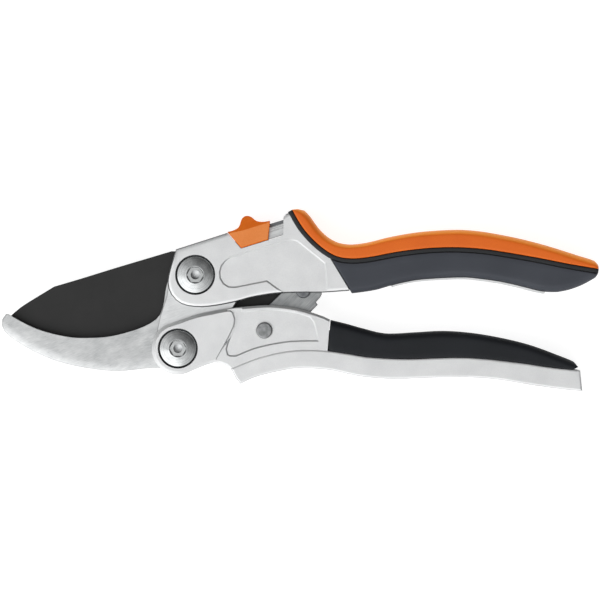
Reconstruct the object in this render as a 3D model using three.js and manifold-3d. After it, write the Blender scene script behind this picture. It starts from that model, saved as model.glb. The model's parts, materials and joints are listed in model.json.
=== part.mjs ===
// Power-lever bypass pruner, lying flat on its back side.
// Millimetres. +X runs from the jaw to the grips, +Y from the lower handle to the upper one, +Z up
// from the surface it lies on. The main pivot's axis passes through the origin.
//
// The hook is fixed to the upper handle. The lower handle hinges on the hook, and a link riveted into
// the lower handle drives the blade's tail, so the blade turns less than the handle that drives it.

import * as THREE from 'three';
import { mergeVertices } from 'three/addons/utils/BufferGeometryUtils.js';
import Module from 'manifold-3d';

const wasm = await Module();
wasm.setup();

// ---- driving dimensions -------------------------------------------------------------------------

// Pivot centres, seen from above.
const MAIN_PIVOT = [0, 0];
const LOWER_PIVOT = [-6.1, -25.9];
const RIVET = [24.3, -19.5];
const TAIL_PIN = [38.0, -5.6];

// Levels of the layers, from the resting surface up.
const GRIP_BACK = 0;
const GRIP_FRONT = 15.7;
const CHEEK_BACK = 0.6;
const CHANNEL_BACK = 3.2;
const CHANNEL_FRONT = 12.5;
const CHEEK_FRONT = 15.1;
const WEB_BACK = 6.0;
const WEB_FRONT = 9.7;
const BLADE_BACK = 5.7;
const BLADE_FRONT = 8.7;
const HOOK_BACK = 8.8;
const HOOK_FRONT = 12.4;
const FRONT_LINK = [8.9, 10.9];
const BACK_LINK = [3.5, 5.5];

const MIDDLE = (GRIP_BACK + GRIP_FRONT) / 2;

// Pivot bolts and nuts.
const SHAFT_R = 3.0;
const HEAD_R = 6.6;
const HEAD_GAP = 0.45;
const HEAD_SEAT = 14.1;
const HEAD_TOP = 15.7;
const HEAD_CONE = 0.75;
const SOCKET_FLATS = 5.2;
const SOCKET_MOUTH = 0.45;
const SOCKET_DEPTH = 1.6;
const DRILL_R = 1.65;
const NUT_FLATS = 11.0;
const NUT_SEAT = 2.0;
const RUNNING_GAP = 0.1;

// Blade and hook; a dowel keeps the hook from turning in the upper handle.
const DOWEL = [8.6, -6.4];
const DOWEL_R = 1.5;
const DOWEL_FRONT = 14.0;
const HUB_R = 9.3;
const TAIL_R = 5.2;
const TAIL_HOLE_R = 2.8;
const GRIND_WIDTH = 3.2;
const BUSH_R = 4.5;

// Link: the rivet it turns on and the pin that joins it to the blade's tail.
const RIVET_R = 2.0;
const RIVET_HEAD_R = 2.8;
const TAIL_PIN_R = 1.9;
const TAIL_PIN_HEAD_R = 2.6;

// Lock: its slot rises along the top of the upper handle.
const SLOT_ANGLE = THREE.MathUtils.degToRad(17.2);
const SLOT_CORNER = [16.1, 9.2];
const LOCK_TRAVEL = 4.3;
const BUTTON_BACK = 0.35;
const BUTTON_FRONT = 15.35;
const TONGUE_BACK = 5.9;
const TONGUE_FRONT = 8.5;
const LOCK_PIN_R = 0.8;
const LOCK_PIN_BACK = 3.7;
const LOCK_PIN_FRONT = 11.5;

// Clearances between pieces that meet along a curve.
const SEAM_GAP = 0.04;
const STRIP_THICKNESS = 1.7;

// ---- outlines -----------------------------------------------------------------------------------

const vector = ([x, y]) => new THREE.Vector2(x, y);

// Evenly spaced points on a smooth curve through the given ones.
function curve(through, step = 2.4) {
  const spline = new THREE.SplineCurve(through.map(vector));
  const count = Math.max(2, Math.round(spline.getLength() / step));
  return spline.getSpacedPoints(count).map((p) => [p.x, p.y]);
}

// Points on a circular arc, from one angle to another, in degrees.
function arc([cx, cy], radius, from, to, step = 12) {
  const count = Math.max(2, Math.ceil(Math.abs(to - from) / step));
  return Array.from({ length: count + 1 }, (_, i) => {
    const angle = THREE.MathUtils.degToRad(from + ((to - from) * i) / count);
    return [cx + radius * Math.cos(angle), cy + radius * Math.sin(angle)];
  });
}

const circle = (centre, radius, sides = 32) => arc(centre, radius, 0, 360, 360 / sides).slice(1);

// A regular hexagon, given across its flats.
const hexagon = (centre, flats) => arc(centre, flats / Math.sqrt(3), 0, 360, 60).slice(1);

// The points moved sideways by a distance, to the left of the way they run.
function shift(points, distance) {
  return points.map(([x, y], i) => {
    const [ax, ay] = points[Math.max(i - 1, 0)];
    const [bx, by] = points[Math.min(i + 1, points.length - 1)];
    const length = Math.hypot(bx - ax, by - ay);
    return [x - ((by - ay) / length) * distance, y + ((bx - ax) / length) * distance];
  });
}

// The part of a curve that runs in +X between two values of x, with both its ends worked out.
function stretch(points, from, to) {
  const at = (x) => {
    const i = points.findIndex((point, k) => k > 0 && point[0] >= x);
    const [[ax, ay], [bx, by]] = [points[i - 1], points[i]];
    return [x, THREE.MathUtils.mapLinear(x, ax, bx, ay, by)];
  };
  return [at(from), ...points.filter(([x]) => x > from + 0.3 && x < to - 0.3), at(to)];
}

// Points given along and across a line that starts at origin and rises by angle.
function placed(points, [ox, oy], angle) {
  const c = Math.cos(angle);
  const s = Math.sin(angle);
  return points.map(([along, across]) => [ox + along * c - across * s, oy + along * s + across * c]);
}

// One closed outline from stretches that follow each other, with doubled points left out.
function outline(...stretches) {
  const kept = [];
  for (const point of stretches.flat()) {
    const last = kept[kept.length - 1];
    if (!last || Math.hypot(point[0] - last[0], point[1] - last[1]) > 0.02) kept.push(point);
  }
  const [first, last] = [kept[0], kept[kept.length - 1]];
  if (Math.hypot(first[0] - last[0], first[1] - last[1]) < 0.02) kept.pop();
  return kept;
}

// ---- solids -------------------------------------------------------------------------------------

// A closed three.js geometry as a solid: shared corners merged, collapsed triangles dropped.
function solid(geometry) {
  for (const name of Object.keys(geometry.attributes)) {
    if (name !== 'position') geometry.deleteAttribute(name);
  }
  const merged = mergeVertices(geometry, 1e-4);
  const kept = [];
  for (let i = 0; i < merged.index.count; i += 3) {
    const [a, b, c] = [0, 1, 2].map((k) => merged.index.getX(i + k));
    if (a !== b && b !== c && c !== a) kept.push(a, b, c);
  }
  return new wasm.Manifold(new wasm.Mesh({
    numProp: 3,
    vertProperties: new Float32Array(merged.attributes.position.array),
    triVerts: new Uint32Array(kept),
  }));
}

// A flat piece with the given outline between two levels, its edges eased by bevel.
function plate(points, low, high, bevel = 0, segments = 1) {
  const geometry = new THREE.ExtrudeGeometry(new THREE.Shape(points.map(vector)), {
    depth: high - low - 2 * bevel,
    bevelEnabled: bevel > 0,
    bevelThickness: bevel,
    bevelSize: bevel,
    bevelOffset: -bevel,
    bevelSegments: segments,
  });
  geometry.translate(0, 0, low + bevel);
  return solid(geometry);
}

const disc = (centre, radius, low, high, sides = 32) => plate(circle(centre, radius, sides), low, high);

// A turned piece about a vertical axis, from a profile of radius and level that closes on itself.
function turned([x, y], profile, sides = 32) {
  const geometry = new THREE.LatheGeometry(profile.map(vector), sides);
  geometry.rotateX(Math.PI / 2);
  geometry.translate(x, y, 0);
  return solid(geometry);
}

function washer(centre, inner, outer, low, high) {
  return turned(centre, [[inner, low], [outer, low], [outer, high], [inner, high], [inner, low]]);
}

// A round wire along a curve in space.
function wire(path, radius, steps) {
  const section = new THREE.Shape(circle([0, 0], radius, 6).map(vector));
  return solid(new THREE.ExtrudeGeometry(section, { steps, bevelEnabled: false, extrudePath: path }));
}

// ---- materials and nodes ------------------------------------------------------------------------

const satinAluminium = ['#d9dbdb', 0.38, 0.85];
const brushedSteel = ['#c3c5c6', 0.3, 1.0];
const polishedSteel = ['#cfd0d0', 0.2, 1.0];
const darkSteel = ['#7d7f80', 0.4, 1.0];
const coatedSteel = ['#323232', 0.5, 0.3];
const springSteel = ['#8d8f90', 0.35, 1.0];
const bronze = ['#a8814f', 0.4, 1.0];
const orangePlastic = ['#e8762c', 0.5, 0.0];
const slateRubber = ['#40444d', 0.75, 0.0];
const navyRubber = ['#2a3038', 0.75, 0.0];
const blackRubber = ['#17181a', 0.8, 0.0];

const pruner = new THREE.Group();

function add(name, shape, [color, roughness, metalness]) {
  const { vertProperties, triVerts } = shape.getMesh();
  const geometry = new THREE.BufferGeometry();
  geometry.setAttribute('position', new THREE.BufferAttribute(vertProperties, 3));
  geometry.setIndex(new THREE.BufferAttribute(triVerts, 1));
  geometry.computeVertexNormals();
  const material = new THREE.MeshStandardMaterial({ color, roughness, metalness });
  const mesh = new THREE.Mesh(geometry, material);
  mesh.name = name;
  pruner.add(mesh);
}

// ---- shared curves ------------------------------------------------------------------------------

// The seam that parts the upper casting and its grip from the black strip above them.
const seam = curve([
  [32.6, 22.1], [35.6, 16.8], [39.0, 12.5], [43.4, 8.4], [48.0, 5.4], [52.5, 4.2], [57.5, 4.1],
  [64.0, 5.0], [70.7, 6.3], [80.9, 7.6], [91.0, 8.0], [101.1, 7.4], [111.2, 5.9], [121.4, 4.1],
  [131.5, 2.1], [141.7, 0.4],
]);
const HEAD_END = 47.5;
// Width of the groove between the end of the casting's head and the grip behind it.
const END_GROOVE = 0.55;

// The upper grip's lower edge.
const upperGripEdge = curve([
  [55.3, -6.5], [58.6, -6.1], [64.0, -5.2], [70.7, -3.2], [77.5, -1.8], [84.2, -1.2], [94.4, -0.8],
  [101.1, -1.4], [107.9, -2.4], [114.6, -3.9], [121.4, -5.6], [126.8, -6.1], [131.5, -5.3],
  [136.0, -3.7], [139.2, -2.0], [141.0, -0.8],
]);

// The lower casting's rim: where the grip sits on it, and its outer edge.
const rimSeat = curve([
  [12.6, -32.9], [21.8, -29.2], [32.6, -26.7], [43.4, -26.4], [54.6, -27.8], [60.6, -28.8],
  [74.1, -29.5], [91.0, -29.0], [101.1, -29.4], [114.6, -30.9], [126.1, -32.6], [135.4, -33.5],
]);
const rimOuter = curve([
  [136.2, -40.9], [128.1, -40.1], [118.0, -38.7], [107.9, -37.0], [97.7, -36.1], [84.2, -36.1],
  [70.7, -36.6], [60.6, -36.0], [54.6, -35.0], [47.1, -33.4], [38.0, -32.8], [32.6, -33.2],
  [21.8, -35.7], [15.9, -38.3],
]);

// ---- upper handle -------------------------------------------------------------------------------

const SHOULDER = [31.0, 20.4];
const SLOT_FLOOR_END = [31.0, 13.8];
const TOP_FRONT = [-6.8, 9.0];
const SLOT_TOP = [11.2, 14.8];

const upperHeadLower = curve([
  [54.3, -5.6], [45.4, -6.2], [38.0, -6.2], [29.4, -6.5], [20.7, -7.8], [14.3, -9.5],
  [7.2, -10.9], [1.8, -11.4], [-2.5, -11.0], [-5.2, -10.1], [-7.5, -8.3], [-9.1, -5.8],
  [-9.8, -2.9], [-9.4, 0.3], [-8.2, 4.6], TOP_FRONT,
]);
const upperHead = outline(
  [TOP_FRONT, SLOT_TOP, SLOT_CORNER, SLOT_FLOOR_END, SHOULDER],
  stretch(seam, seam[0][0], HEAD_END),
  upperHeadLower,
);
// The same head run on past the slot and the seam, whose edges stay square.
const upperHeadBlank = outline([TOP_FRONT, [34.9, 22.4], [62, 22.4], [62, -5.2]], upperHeadLower);

// Shallow panel sunk into each cheek: its round end lies beside the pivot, and behind a notch it
// runs out through the cheek's lower edge.
const upperPanel = outline(
  curve([[14.0, -4.7], [11.2, -4.4], [8.9, -2.3], [8.3, 0.9], [9.5, 4.3], [12.4, 6.5]]),
  [[33.2, 12.7], [36.0, 12.2], [45.9, 4.3], [46.8, -4.7], [46.9, -10], [35.5, -10], [25.1, -2.5]],
);
const UPPER_ROUND = 1.4;
const LOWER_CHAMFER = 0.8;
const PANEL_DEPTH = 0.55;
const VALLEY_DEPTH = 0.5;

// A head between the cheeks' faces, with eased edges only where its blank has the same edge.
function head(shape, blank, bevel, segments = 1) {
  return plate(blank, CHEEK_BACK, CHEEK_FRONT, bevel, segments)
    .intersect(plate(shape, CHEEK_BACK, CHEEK_FRONT));
}

// The same sunk panel in both cheeks, with walls that slope at 45 degrees.
function sink(body, panel, depth) {
  return body
    .subtract(plate(panel, CHEEK_FRONT - depth, CHEEK_FRONT + 3, depth))
    .subtract(plate(panel, CHEEK_BACK - 3, CHEEK_BACK + depth, depth));
}

// The web that carries the grip, with the lip that shows under it.
const upperWeb = outline(
  curve([[49.0, 1.6], [57.5, 1.6], [70.7, 3.8], [84.0, 5.2], [96.0, 5.2], [108.0, 3.8], [121.0, 1.4],
    [131.0, -0.9]]),
  curve([[131.0, -3.2], [126.0, -5.0], [121.4, -5.9], [114.6, -4.3], [107.9, -2.8], [101.1, -1.8],
    [94.4, -1.2], [84.2, -1.6], [77.5, -2.2], [70.7, -3.6], [66.0, -4.0], [49.0, -4.2]]),
);
const LIP_FROM = 67;
const LIP_TO = 125;
// How far below the grip's lower edge the lip begins and ends.
const LIP = [0.12, 0.75];
const LIP_LEVELS = [2.6, 13.1];
const lipLine = upperGripEdge.filter(([x]) => x > LIP_FROM && x < LIP_TO);

// Space between the cheeks: open above and below up to the lock slot, then a pocket for the link.
const upperChannel = [
  [-15, -15], [-15, 24], [31, 26], [31, 3.2], [44.8, 3.2], [47.6, 0.4], [47.6, -15],
];

// Levels of the step that closes the groove behind the head, well below the head's surface.
const STEP_LEVELS = [2.8, 12.9];

// Bar that joins the two cheeks along the top, ahead of the lock.
const bridge = [[2.0, 11.84], [10.2, 14.48], [10.8, 12.67], [2.6, 10.03]];

// Recess in the slot's far wall that holds the end of the lock's rack.
const RACK_BACK = 9.4;
const RACK_FRONT = 12.2;
const RACK_END = 18.2;
const RACK_HEIGHT = 5.4;
const RACK_START = 1.2;
const RACK_FOOT = 0.3;
// The button's pin passes over the rack's near part, which is lower and toothed.
const TOOTHED_END = 10.4;
const TOOTHED_HEIGHT = 4.2;
const TOOTH_PITCH = 1.3;
const TOOTH_DEPTH = 0.4;
const GROOVES_AT = [2.6, 3.4];
const GROOVE_WIDTH = 0.3;
const GROOVE_DEPTH = 0.35;
const LEDGE_DROP = 0.9;

// Chamfer on the shoulder where the slot ends and the grip's cover begins.
const SHOULDER_CHAMFER = 0.9;
const shoulderCut = [
  ...shift([[28.9, 18.2], SHOULDER, [32.6, 22.1], [34.6, 24.3]], -SHOULDER_CHAMFER), [33, 28], [25, 20],
];

function pivotSeats(body, centre) {
  return body
    .subtract(disc(centre, SHAFT_R + RUNNING_GAP, -1, 17))
    .subtract(disc(centre, HEAD_R + HEAD_GAP, HEAD_SEAT, 17, 40))
    .subtract(disc(centre, HEAD_R - 0.1, -1, NUT_SEAT, 40));
}

function upperCasting() {
  const rackRecess = placed(
    [[RACK_START, RACK_FOOT - 0.15], [RACK_END + 0.15, RACK_FOOT - 0.15],
      [RACK_END + 0.15, RACK_HEIGHT + 0.15], [RACK_START, RACK_HEIGHT + 0.15]],
    SLOT_CORNER, SLOT_ANGLE,
  );
  const lip = [...shift(lipLine, -LIP[0]), ...shift(lipLine, -LIP[1]).reverse()];
  const step = [
    ...stretch(seam, HEAD_END - 1, HEAD_END + END_GROOVE), [54.35, -5.2], [53.3, -5.2],
  ];
  const blank = head(upperHead, upperHeadBlank, UPPER_ROUND, 2);
  const body = sink(sink(blank, shoulderCut, SHOULDER_CHAMFER), upperPanel, PANEL_DEPTH)
    .add(plate(step, ...STEP_LEVELS))
    .subtract(plate(upperChannel, CHANNEL_BACK, CHANNEL_FRONT))
    .add(plate(bridge, CHANNEL_BACK - 0.4, CHANNEL_FRONT + 0.4))
    .add(plate(upperWeb, WEB_BACK, WEB_FRONT))
    .add(plate(lip, ...LIP_LEVELS))
    .subtract(plate(rackRecess, RACK_BACK - 0.15, RACK_FRONT + 0.15))
    .subtract(disc(DOWEL, DOWEL_R + RUNNING_GAP, CHANNEL_FRONT - 1, DOWEL_FRONT + 0.2, 16));
  return pivotSeats(body, MAIN_PIVOT);
}

// ---- hook ---------------------------------------------------------------------------------------

// The hook's inner edge, from its tip to the upper handle: the edge that the blade shears past.
const hookInner = curve([
  [-66.0, -13.85], [-58.8, -17.8], [-52.7, -20.1], [-44.6, -21.9], [-38.1, -22.2], [-30.4, -21.7],
  [-22.3, -19.7], [-16.2, -17.2], [-12.6, -14.2], [-11.2, -10.0], [-10.5, -5.1], [-9.2, 0],
]);
const hookOuter = curve([
  [-10.5, -33.0], [-16.2, -32.9], [-26.4, -33.9], [-34.5, -33.4], [-44.6, -31.6], [-52.7, -29.0],
  [-60.8, -24.9], [-67.0, -20.4], [-68.4, -17.3], [-68.0, -15.0], [-66.9, -13.7],
]);

// The hook run on past everything but its outer edge, which alone is rounded.
const hookBlank = outline([[-60, 20], [30, 20], [30, -36], [-9, -36]], hookOuter);
const HOOK_ROUND = 1.2;
// The hook's arm, ground a little lower than the part round the pivots.
const GROUND_DEPTH = 0.25;
const hookGround = [
  [-90, 20], [-9.9, 20], [-9.2, -3.0], [-9.9, -7.6], [-12.2, -14.6], [-13.2, -19.2], [-13.0, -24],
  [-13.0, -50], [-90, -50],
];

// The arm's outer edge is an arc about this centre, and near it the face falls away in a curve.
const EDGE_CENTRE = [-28.3, 28.9];
const EDGE_RADIUS = 62.8;
const FALL_WIDTH = 3.6;
const FALL_STEEPNESS = 0.026;

// The room over the part of the arm's face that falls away.
function overEdge() {
  const face = HOOK_FRONT - GROUND_DEPTH;
  const profile = [];
  for (let out = 0; out < 6; out += 0.9) {
    profile.push([EDGE_RADIUS - FALL_WIDTH + out, face - FALL_STEEPNESS * out ** 2]);
  }
  const [near, far] = [profile[0][0], profile[profile.length - 1][0]];
  return turned(EDGE_CENTRE, [...profile, [far, face + 2], [near, face + 2], profile[0]], 160)
    .intersect(plate(hookGround, HOOK_FRONT - 2, HOOK_FRONT + 3));
}

function hook() {
  const shape = outline(
    hookInner,
    arc(MAIN_PIVOT, 9.0, 175, 5),
    curve([[9.2, -1.5], [12.0, -4.8], [14.6, -8.9], [12.6, -12.3], [6.0, -17.0], [2.6, -21.5]]),
    arc(LOWER_PIVOT, 8.3, 20, -85),
    hookOuter,
  );
  return plate(shape, HOOK_BACK, HOOK_FRONT, 0.35)
    .intersect(plate(hookBlank, HOOK_BACK, HOOK_FRONT, HOOK_ROUND, 3))
    .subtract(plate(hookGround, HOOK_FRONT - GROUND_DEPTH, HOOK_FRONT + 3, GROUND_DEPTH))
    .subtract(overEdge())
    .subtract(disc(MAIN_PIVOT, SHAFT_R + RUNNING_GAP, 0, 16))
    .subtract(disc(LOWER_PIVOT, SHAFT_R + RUNNING_GAP, 0, 16))
    .subtract(disc(DOWEL, DOWEL_R + RUNNING_GAP, 0, 16, 16));
}

// ---- blade --------------------------------------------------------------------------------------

// A plate ground on its back: its cutting edge is sharp at the front face and steps in behind it.
function blade() {
  const edge = curve([
    [-65.8, -14.75], [-61.8, -17.8], [-57.0, -20.8], [-50.0, -23.4], [-42.0, -24.6], [-34.0, -24.4],
    [-26.0, -22.8], [-19.0, -20.0], [-13.5, -16.8], [-9.0, -14.4],
  ]);
  const rest = outline(
    curve([[-9.0, -14.4], [-3.0, -13.4], [4.0, -13.6], [12.0, -14.2], [24.0, -13.8], [33.0, -12.0]]),
    arc(TAIL_PIN, TAIL_R, -75, 95),
    curve([[36.0, -0.5], [28.0, -0.3], [18.0, 1.6], [12.0, 3.3]]),
    arc(MAIN_PIVOT, HUB_R, 36, 116),
    [[-8.6, 8.4], [-28.4, 2.5], [-40.6, -1.3]],
    curve([[-50.1, -4.1], [-54.6, -6.8], [-59.3, -9.7], [-62.4, -11.8], [-65.8, -14.75]]),
  );
  const front = outline(edge, rest.slice(1));
  // The grind narrows to nothing at the tip and at the heel.
  const inset = front.map(([x, y], i) => {
    const along = i / (edge.length - 1);
    if (along >= 1) return [x, y];
    const width = GRIND_WIDTH * Math.min(1, 5 * along, 5 * (1 - along));
    return shift(edge, width)[i];
  });
  const shape = new THREE.BufferGeometry();
  const layers = [
    ...inset.map(([x, y]) => [x, y, BLADE_BACK]),
    ...front.map(([x, y]) => [x, y, BLADE_FRONT]),
  ];
  const count = front.length;
  const faces = [];
  for (const [a, b, c] of THREE.ShapeUtils.triangulateShape(inset.map(vector), [])) faces.push(a, c, b);
  for (const face of THREE.ShapeUtils.triangulateShape(front.map(vector), [])) {
    faces.push(...face.map((i) => i + count));
  }
  for (let i = 0; i < count; i += 1) {
    const next = (i + 1) % count;
    faces.push(i, next, next + count, i, next + count, i + count);
  }
  shape.setAttribute('position', new THREE.Float32BufferAttribute(layers.flat(), 3));
  shape.setIndex(faces);
  return solid(shape)
    .subtract(disc(MAIN_PIVOT, BUSH_R + RUNNING_GAP, 0, 16))
    .subtract(disc(TAIL_PIN, TAIL_HOLE_R, 0, 16, 24));
}

// ---- lower handle -------------------------------------------------------------------------------

const BOSS_R = 9.2;
const BOSS_RISE = 0.35;
const RIM_ROUND = 0.8;
const lowerHeadLower = outline(
  arc(LOWER_PIVOT, BOSS_R, 112, 300, 10),
  curve([[2.0, -32.4], [6.5, -30.9], [9.6, -31.3], [12.3, -33.0], [14.3, -35.6]]),
  [[22.0, -33.0], [33.0, -30.2]],
);
const lowerHeadUpper = curve([
  [47.35, -15.7], [44.7, -14.5], [36.6, -12.0], [28.5, -10.8], [23.1, -10.8], [17.7, -11.2],
  [10.8, -11.9], [6.5, -12.7], [0.1, -14.1], [-4.6, -15.7], [-8.6, -17.2],
]);
const lowerHead = outline(lowerHeadLower, [[46.35, -30.0], [46.55, -26.3]], lowerHeadUpper);
// The same head run on past its seam with the grip.
const lowerHeadBlank = outline(lowerHeadLower, [[56, -30.0], [56, -19.8]], lowerHeadUpper);
const rim = outline(rimSeat, rimOuter, [[14.3, -36.4]]);
const lowerWeb = outline(
  curve([[45.0, -19.0], [59.0, -22.2], [67.0, -23.6], [87.0, -23.2], [98.0, -24.0], [108.0, -26.0],
    [118.0, -28.7], [126.0, -31.0]]),
  [[126.0, -35.0], [108.0, -33.0], [70.0, -32.0], [45.0, -30.0]],
);
const lowerPanel = outline(
  curve([[14.0, -12.9], [14.2, -16.0], [12.6, -20.5], [11.3, -23.8], [10.6, -26.4], [11.2, -28.3]]),
  curve([[12.2, -28.8], [13.6, -29.1], [21.8, -25.9], [32.6, -23.8], [43.4, -23.5]]),
  curve([[43.6, -22.9], [42.2, -17.0], [40.6, -14.6]]),
  curve([[40.6, -14.6], [34.5, -12.8], [28.5, -12.2], [23.1, -12.2], [14.0, -12.9]]),
);
// Valley between the plateau and the panel, deeper than the panel. It runs out through the upper
// edge and narrows to a point below.
const valley = outline(
  curve([[10.6, -9.0], [10.8, -16.6], [8.0, -22.4], [6.0, -25.4]]),
  curve([[9.2, -26.4], [12.6, -22.4], [15.4, -18.0], [16.7, -14.0], [16.7, -9.0]]),
);
// Raised plateau round the lower pivot; a shallow valley parts it from the panel. Its slopes carry
// on from the head's chamfer.
const PLATEAU_END = 13.2;
const bossPlateau = outline(
  arc(LOWER_PIVOT, BOSS_R - LOWER_CHAMFER, 112, 300, 10),
  curve([[1.7, -31.66], [4.2, -30.75], [7.4, -29.9]]),
  curve([[7.4, -29.9], [10.8, -23.8], [13.4, -18.6], [14.0, -15.8], [PLATEAU_END, -13.2]]),
  shift(lowerHeadUpper, LOWER_CHAMFER).filter(([x]) => x < PLATEAU_END && x > LOWER_PIVOT[0] - 2),
);

// Space between the cheeks: open at the top and, round the lower pivot, at the bottom too.
const lowerChannel = outline(
  [[-20, -5], [-20, -50], [9.0, -50], [9.0, -30.4]],
  curve([[9.0, -30.4], [14.0, -30.4], [21.8, -28.6], [32.6, -26.2], [43.6, -25.8]]),
  [[43.6, -5]],
);

function lowerCasting() {
  const blank = head(lowerHead, lowerHeadBlank, LOWER_CHAMFER);
  const body = sink(sink(blank, lowerPanel, PANEL_DEPTH), valley, VALLEY_DEPTH)
    .add(plate(bossPlateau, CHEEK_BACK - BOSS_RISE, CHEEK_FRONT + BOSS_RISE, BOSS_RISE))
    .add(plate(rim, GRIP_BACK + 0.2, GRIP_FRONT - 0.2, RIM_ROUND, 2))
    .subtract(plate(lowerChannel, CHANNEL_BACK, CHANNEL_FRONT))
    .add(plate(lowerWeb, WEB_BACK, WEB_FRONT))
    .subtract(disc(RIVET, RIVET_R + RUNNING_GAP, -1, 17, 24))
    .subtract(disc(RIVET, RIVET_HEAD_R + 0.2, HEAD_SEAT, 17, 24))
    .subtract(disc(RIVET, RIVET_HEAD_R + 0.2, -1, CHEEK_BACK + 1.0, 24));
  return pivotSeats(body, LOWER_PIVOT);
}

// ---- grips --------------------------------------------------------------------------------------

// A grip slipped over its casting's web: a slot runs into it from its lower edge.
const SLOT_SIDE = 0.25;

function upperGrip() {
  const top = stretch(shift(seam, -SEAM_GAP), HEAD_END + END_GROOVE + 0.05, 141.6);
  const shape = outline(top, [...upperGripEdge].reverse());
  const slot = shift(upperWeb, SLOT_SIDE);
  const mouth = [[LIP_FROM - 0.4, -1.0], [LIP_TO + 0.4, -1.0], [LIP_TO + 0.4, -12], [LIP_FROM - 0.4, -12]];
  return plate(shape, GRIP_BACK, GRIP_FRONT, 0.3)
    .subtract(plate(slot, WEB_BACK - SLOT_SIDE, WEB_FRONT + SLOT_SIDE))
    .subtract(plate(mouth, WEB_BACK - SLOT_SIDE, WEB_FRONT + SLOT_SIDE));
}

function sealStrip() {
  const shape = [...shift(seam, SEAM_GAP), ...shift(seam, STRIP_THICKNESS).reverse()];
  return plate(shape, GRIP_BACK + 0.4, GRIP_FRONT - 0.4);
}

function orangeCover() {
  const top = curve([
    [36.2, 23.2], [38.1, 22.9], [40.0, 21.1], [42.2, 18.1], [44.0, 15.7], [47.1, 13.0], [50.2, 11.4],
    [54.5, 10.7],
    [60.6, 11.4], [67.4, 13.1], [74.1, 14.4], [80.9, 15.3], [91.0, 15.9], [98.0, 15.6],
    [104.5, 14.7], [114.6, 12.7], [124.8, 10.0], [134.9, 6.8], [140.6, 5.0], [141.9, 3.6],
  ]);
  const shape = outline(shift(seam, STRIP_THICKNESS + SEAM_GAP), top.reverse());
  return plate(shape, GRIP_BACK + 0.2, GRIP_FRONT - 0.2, 0.3);
}

function lowerGrip() {
  const seat = shift(rimSeat, SEAM_GAP).filter(([x]) => x > 47.4 && x < 135);
  const shape = outline(
    [[46.95, -26.2]],
    seat,
    curve([
      [134.7, -32.4], [133.4, -30.6], [128.1, -28.4], [118.0, -24.7], [107.9, -22.2], [97.7, -20.5],
      [87.6, -19.8], [77.5, -20.3], [67.3, -20.7], [59.2, -18.9], [53.5, -17.3], [47.7, -15.9],
    ]),
  );
  const mouth = outline(
    curve([[46.0, -18.95], [59.0, -21.9], [67.0, -23.3], [87.0, -22.9], [98.0, -23.7], [108.0, -25.7],
      [118.0, -28.4], [126.3, -30.7]]),
    [[126.3, -40.0], [46.0, -40.0]],
  );
  return plate(shape, GRIP_BACK, GRIP_FRONT, 0.3)
    .subtract(plate(mouth, WEB_BACK - SLOT_SIDE, WEB_FRONT + SLOT_SIDE));
}

// ---- pivots -------------------------------------------------------------------------------------

// A bolt with a wide, coned head and a shaft flush with the resting surface. Its hexagon socket has
// a chamfered mouth and a shallow drilled hole in its floor.
function pivotBolt(centre) {
  const headBase = HEAD_SEAT + 0.05;
  const floor = HEAD_TOP - SOCKET_DEPTH;
  const mouth = SOCKET_FLATS / 2 + SOCKET_MOUTH;
  return turned(centre, [
    [0, GRIP_BACK], [SHAFT_R, GRIP_BACK], [SHAFT_R, headBase], [HEAD_R, headBase],
    [HEAD_R, HEAD_TOP - HEAD_CONE - 0.3], [HEAD_R - 0.3, HEAD_TOP - HEAD_CONE], [mouth + 0.2, HEAD_TOP],
    [0, HEAD_TOP],
  ], 40)
    .subtract(plate(hexagon(centre, SOCKET_FLATS), floor, HEAD_TOP + 1))
    .subtract(turned(centre, [
      [0, HEAD_TOP - SOCKET_MOUTH], [mouth - SOCKET_MOUTH, HEAD_TOP - SOCKET_MOUTH], [mouth, HEAD_TOP],
      [mouth, HEAD_TOP + 1], [0, HEAD_TOP + 1],
    ], 40))
    .subtract(turned(centre, [
      [0, floor - 0.9], [DRILL_R, floor - 0.4], [DRILL_R, HEAD_TOP], [0, HEAD_TOP],
    ], 24));
}

function pivotNut(centre) {
  return plate(hexagon(centre, NUT_FLATS), GRIP_BACK + 0.05, NUT_SEAT - 0.05, 0.3)
    .subtract(disc(centre, SHAFT_R + RUNNING_GAP, -1, 3));
}

// A spacer round a pivot bolt that fills the room between two levels, less a little clearance.
function spacer(centre, radius, low, high) {
  return washer(centre, SHAFT_R + RUNNING_GAP, radius, low + 0.1, high - 0.1);
}

// ---- link ---------------------------------------------------------------------------------------

const LINK_ANGLE = Math.atan2(TAIL_PIN[1] - RIVET[1], TAIL_PIN[0] - RIVET[0]);
const LINK_LENGTH = Math.hypot(TAIL_PIN[0] - RIVET[0], TAIL_PIN[1] - RIVET[1]);
const linkShape = placed(outline(
  arc([0, 0], 5.1, 90, 270),
  [[3.0, -5.3], [7.0, -7.1], [19.6, -7.1], [19.8, -6.0]],
  arc([LINK_LENGTH + 2.4, -3.4], 2.5, -90, 0, 30),
  arc([LINK_LENGTH + 2.4, 2.6], 2.5, 0, 90, 30),
), RIVET, LINK_ANGLE);
const tabShape = placed([[9.5, -7.0], [13.5, -7.0], [13.5, -6.0], [9.5, -6.0]], RIVET, LINK_ANGLE);

function linkPlate([low, high]) {
  return plate(linkShape, low, high, 0.2)
    .subtract(disc(RIVET, RIVET_R + RUNNING_GAP, 0, 16, 24))
    .subtract(disc(TAIL_PIN, TAIL_PIN_R + RUNNING_GAP, 0, 16, 24));
}

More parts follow.
